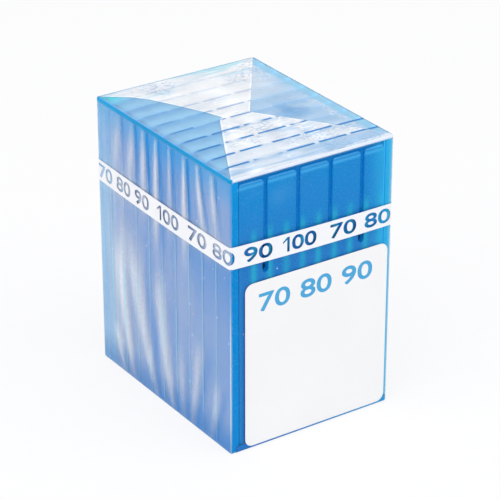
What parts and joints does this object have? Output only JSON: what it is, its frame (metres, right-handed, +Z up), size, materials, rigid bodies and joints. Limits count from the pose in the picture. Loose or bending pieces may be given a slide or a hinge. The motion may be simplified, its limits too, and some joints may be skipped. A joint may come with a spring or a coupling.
{
  "type": "pack of sewing machine needles",
  "caption": "Film-wrapped block of slim translucent blue cassettes holding steel sewing machine needles, with a white band and a paper label.",
  "frame": {"origin": "middle of the pack's underside", "axes": "+Z up along the cassettes' height, -Y out of the labelled face, +X across the cassettes' width"},
  "size_m": [0.044, 0.0558, 0.068],
  "materials": {
    "film": "clear shrink film, folded, glossy with fine wrinkles",
    "band": "white printed strip with plain numbers and bars left clear",
    "label_paper": "matt white self-adhesive label",
    "tray_plastic": "translucent blue moulded polystyrene",
    "cover_plastic": "translucent blue moulded polystyrene, finely frosted",
    "needle_steel": "polished nickel-plated steel"
  },
  "bodies": {
    "root": {"film_wrap": "film", "printed_band": "band", "label": "label_paper", "tray_1": "tray_plastic", "tray_2": "tray_plastic", "tray_3": "tray_plastic", "tray_4": "tray_plastic", "tray_5": "tray_plastic", "tray_6": "tray_plastic", "tray_7": "tray_plastic", "tray_8": "tray_plastic", "tray_9": "tray_plastic", "tray_10": "tray_plastic", "cover_1": "cover_plastic", "cover_2": "cover_plastic", "cover_3": "cover_plastic", "cover_4": "cover_plastic", "cover_5": "cover_plastic", "cover_6": "cover_plastic", "cover_7": "cover_plastic", "cover_8": "cover_plastic", "cover_9": "cover_plastic", "cover_10": "cover_plastic", "needles_1": "needle_steel", "needles_2": "needle_steel", "needles_3": "needle_steel", "needles_4": "needle_steel", "needles_5": "needle_steel", "needles_6": "needle_steel", "needles_7": "needle_steel", "needles_8": "needle_steel", "needles_9": "needle_steel", "needles_10": "needle_steel"}
  },
  "joints": []
}
